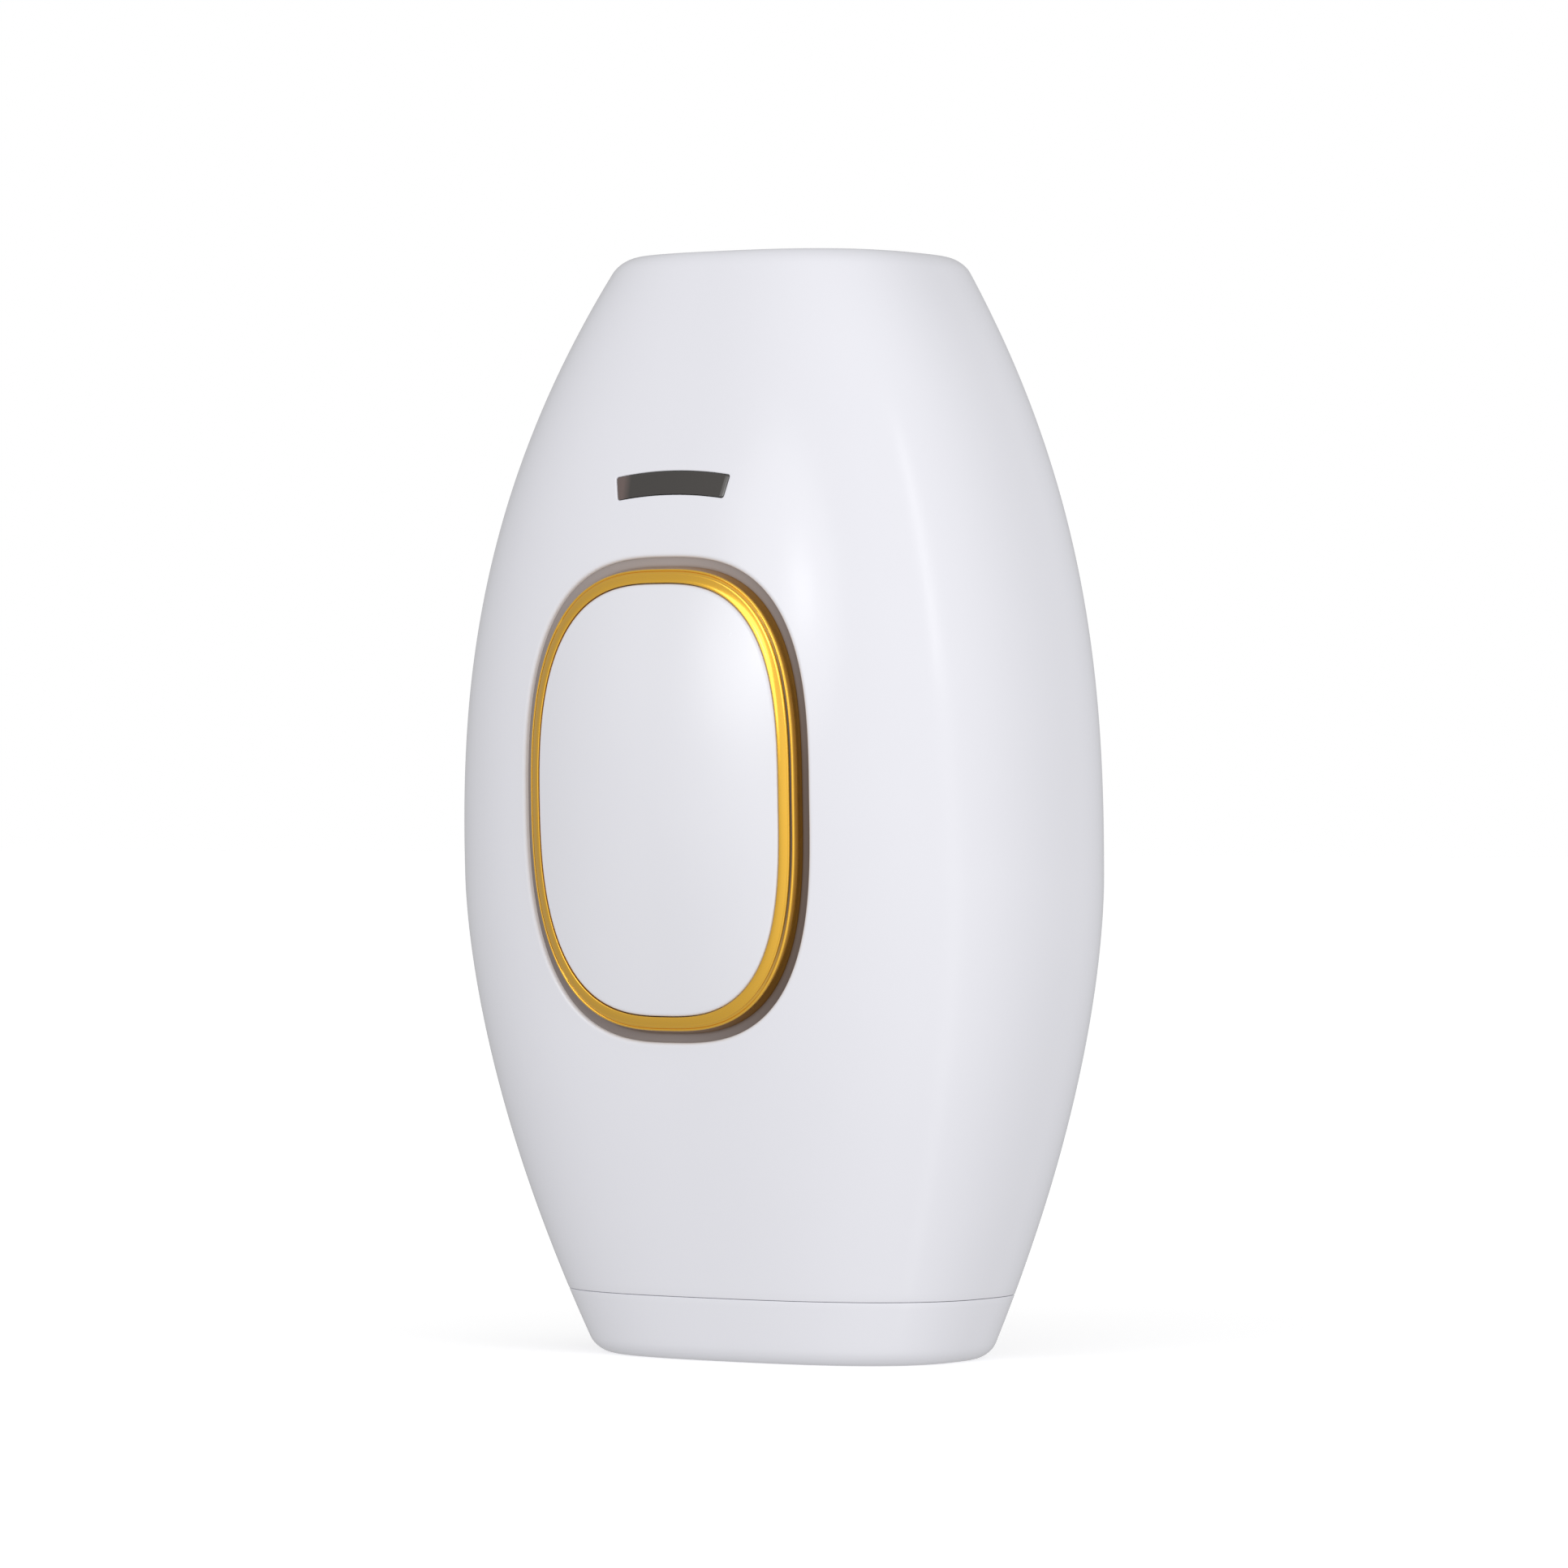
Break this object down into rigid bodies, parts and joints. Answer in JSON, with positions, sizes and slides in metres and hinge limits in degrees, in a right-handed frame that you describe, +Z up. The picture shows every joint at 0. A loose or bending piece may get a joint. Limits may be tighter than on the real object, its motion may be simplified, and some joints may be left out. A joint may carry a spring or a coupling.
{
  "type": "ipl hair remover",
  "caption": "Pebble-shaped hand-held light-pulse hair remover with a thumb button in a gold ring, display window, lamp head, back vents and DC inlet.",
  "frame": {"origin": "middle of the underside of the whole object's box, on the flat rest face of the bottom cap", "axes": "+Z up along the body to the lamp window; -Y is the way the thumb button faces, +Y the back cover; +X to the right seen from the button side"},
  "size_m": [0.086, 0.053, 0.1403],
  "materials": {
    "white_casing": "gloss moulded",
    "white_button": "gloss moulded",
    "gold_trim": "polished gold plating",
    "taupe_seat": "satin",
    "smoked_window": "polished, smoked",
    "chrome_frame": "polished",
    "clear_glass": "clear",
    "amber_filter": "clear amber",
    "polished_reflector": "polished",
    "aluminium_sink": "extruded, satin",
    "black_nylon": "moulded, satin",
    "natural_nylon": "moulded",
    "circuit_board": "lacquered",
    "black_epoxy": "matte",
    "capacitor_sleeve": "shrink sleeve",
    "copper_winding": "enamelled wire",
    "bright_steel": "zinc plated",
    "spring_steel": "drawn wire",
    "red_lead": "insulation",
    "black_lead": "insulation"
  },
  "bodies": {
    "root": {"front_shell": "white_casing", "back_cover": "white_casing", "bottom_cap": "white_casing", "gold_ring": "gold_trim", "ring_seat": "taupe_seat", "display_window": "smoked_window", "window_glass": "clear_glass", "flash_tube": "clear_glass", "optical_filter": "amber_filter", "reflector": "polished_reflector", "lamp_heatsink": "aluminium_sink", "lamp_holder": "black_nylon", "fan_housing": "black_nylon", "dc_inlet": "black_nylon", "contact_switch": "black_nylon", "flash_switch": "black_nylon", "level_switch": "black_nylon", "display_module": "natural_nylon", "board_spacer_low_left": "natural_nylon", "board_spacer_low_right": "natural_nylon", "board_spacer_high_left": "natural_nylon", "board_spacer_high_right": "natural_nylon", "control_board": "circuit_board", "power_board": "circuit_board", "key_board": "circuit_board", "controller_chip": "black_epoxy", "igbt": "black_epoxy", "storage_capacitor_left": "capacitor_sleeve", "storage_capacitor_right": "capacitor_sleeve", "charge_transformer": "copper_winding", "trigger_coil": "copper_winding", "dc_pin": "bright_steel", "electrode_left": "bright_steel", "electrode_right": "bright_steel", "lamp_screw_left": "bright_steel", "lamp_screw_right": "bright_steel", "fan_screw_left": "bright_steel", "fan_screw_right": "bright_steel", "cover_screw_low_left": "bright_steel", "cover_screw_low_right": "bright_steel", "cover_screw_high_left": "bright_steel", "cover_screw_high_right": "bright_steel", "stack_screw_low_left": "bright_steel", "stack_screw_low_right": "bright_steel", "stack_screw_high_left": "bright_steel", "stack_screw_high_right": "bright_steel", "frame_spring_left": "spring_steel", "frame_spring_right": "spring_steel", "lamp_lead_left": "red_lead", "lamp_lead_right": "red_lead", "dc_lead_left": "red_lead", "dc_lead_right": "red_lead", "fan_lead": "black_lead"},
    "flash_button": {"flash_button": "white_button"},
    "sensor_frame": {"sensor_frame": "chrome_frame"},
    "level_button": {"level_button": "white_button"},
    "fan_rotor": {"fan_rotor": "black_nylon"}
  },
  "joints": [
    {"name": "flash_button_press", "type": "slide", "parent": "root", "child": "flash_button", "axis": [0, 1, 0], "range_m": [0, 0.0008], "stiffness_N_per_m": 1500},
    {"name": "contact_frame_press", "type": "slide", "parent": "root", "child": "sensor_frame", "axis": [0, 0, -1], "range_m": [0, 0.0006], "stiffness_N_per_m": 1200, "deforming": ["frame_spring_left", "frame_spring_right"]},
    {"name": "level_button_press", "type": "slide", "parent": "root", "child": "level_button", "axis": [0, -1, 0], "range_m": [0, 0.0006], "stiffness_N_per_m": 800},
    {"name": "fan_spin", "type": "hinge", "parent": "root", "child": "fan_rotor", "pos_m": [0, 0.01795, 0.0825], "axis": [0, 1, 0], "continuous": true}
  ]
}
